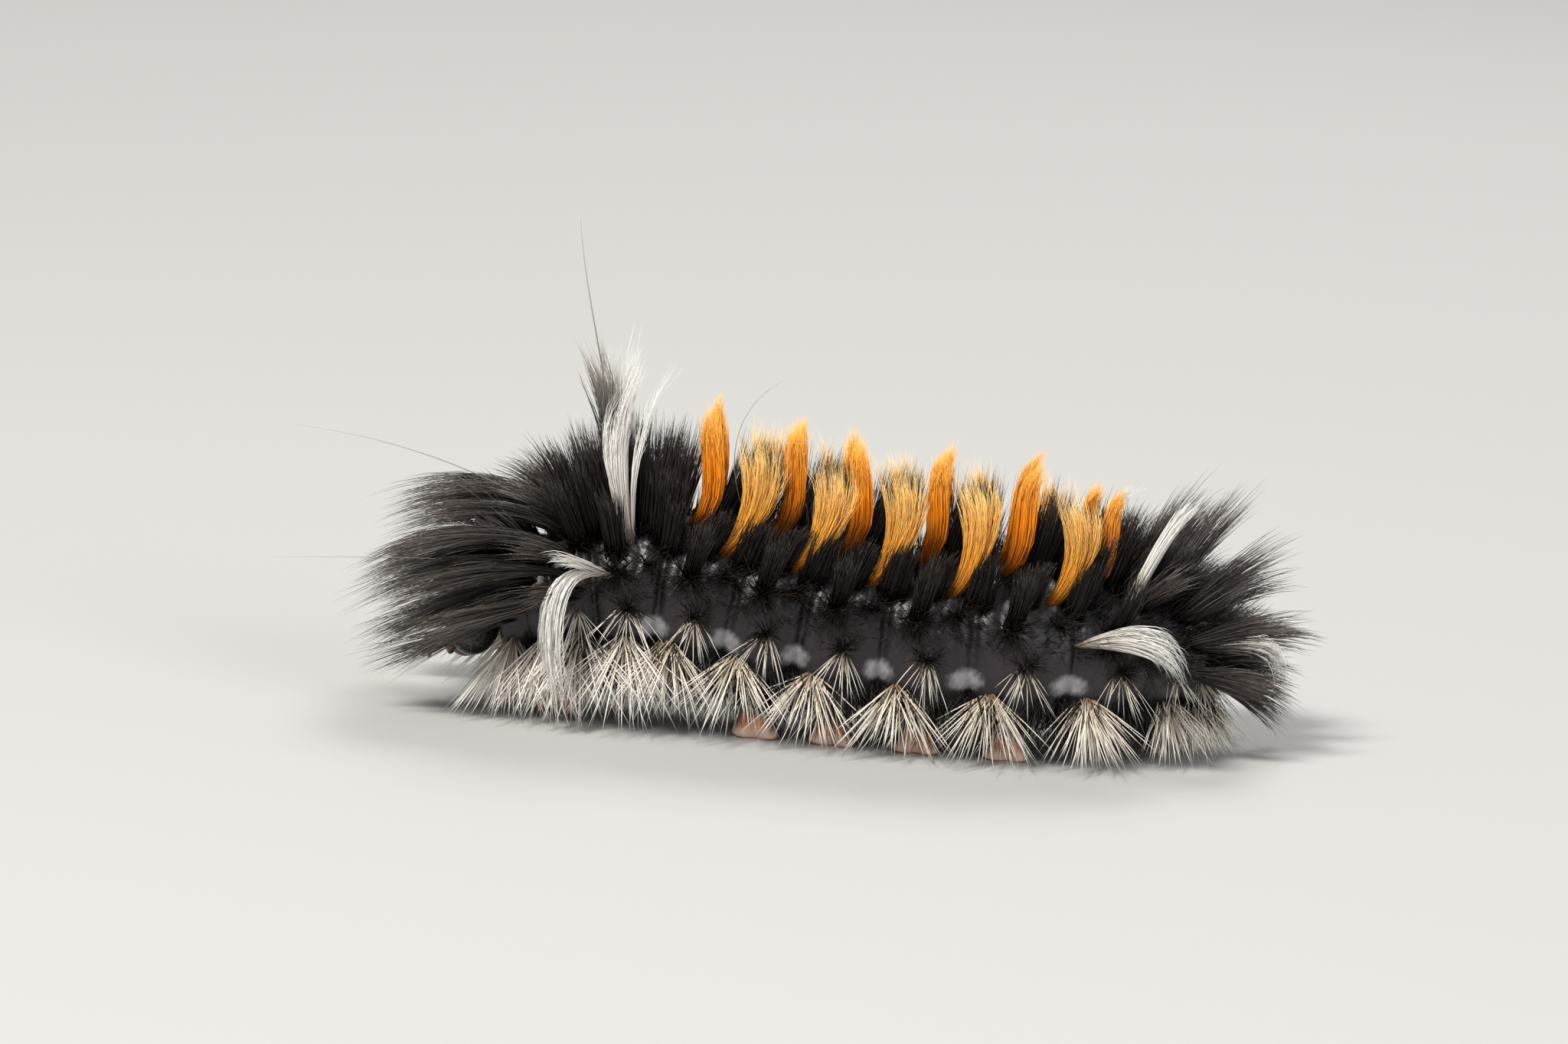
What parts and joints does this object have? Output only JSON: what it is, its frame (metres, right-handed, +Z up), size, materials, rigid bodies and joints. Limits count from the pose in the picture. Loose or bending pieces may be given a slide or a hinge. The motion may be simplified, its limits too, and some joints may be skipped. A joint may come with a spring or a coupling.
{
  "type": "milkweed tussock moth larva",
  "caption": "Life-size model of a tufted moth larva standing on its legs: dark body with black, orange and golden hair tufts and white lashes.",
  "frame": {"origin": "on the floor, below the middle of the whole box", "axes": "+Z up, the head points to -X, the left side faces -Y, the rear bends towards +Y"},
  "size_m": [0.041, 0.0188, 0.022],
  "materials": {
    "coat": "dark skin under a coat of black, orange, golden and white hair",
    "head": "glossy black head shell",
    "leg": "soft orange-pink translucent legs"
  },
  "bodies": {
    "root": {"head": "head", "antenna_left": "head", "antenna_right": "head", "thorax_1": "coat", "thorax_2": "coat", "thorax_3": "coat", "abdomen_1": "coat", "abdomen_2": "coat", "abdomen_3": "coat", "abdomen_4": "coat", "abdomen_5": "coat", "abdomen_6": "coat", "abdomen_7": "coat", "abdomen_8": "coat", "abdomen_9": "coat", "abdomen_10": "coat", "thoracic_leg_1_left": "leg", "thoracic_leg_2_left": "leg", "thoracic_leg_3_left": "leg", "proleg_3_left": "leg", "proleg_4_left": "leg", "proleg_5_left": "leg", "proleg_6_left": "leg", "anal_proleg_left": "leg", "thoracic_leg_1_right": "leg", "thoracic_leg_2_right": "leg", "thoracic_leg_3_right": "leg", "proleg_3_right": "leg", "proleg_4_right": "leg", "proleg_5_right": "leg", "proleg_6_right": "leg", "anal_proleg_right": "leg"}
  },
  "joints": []
}
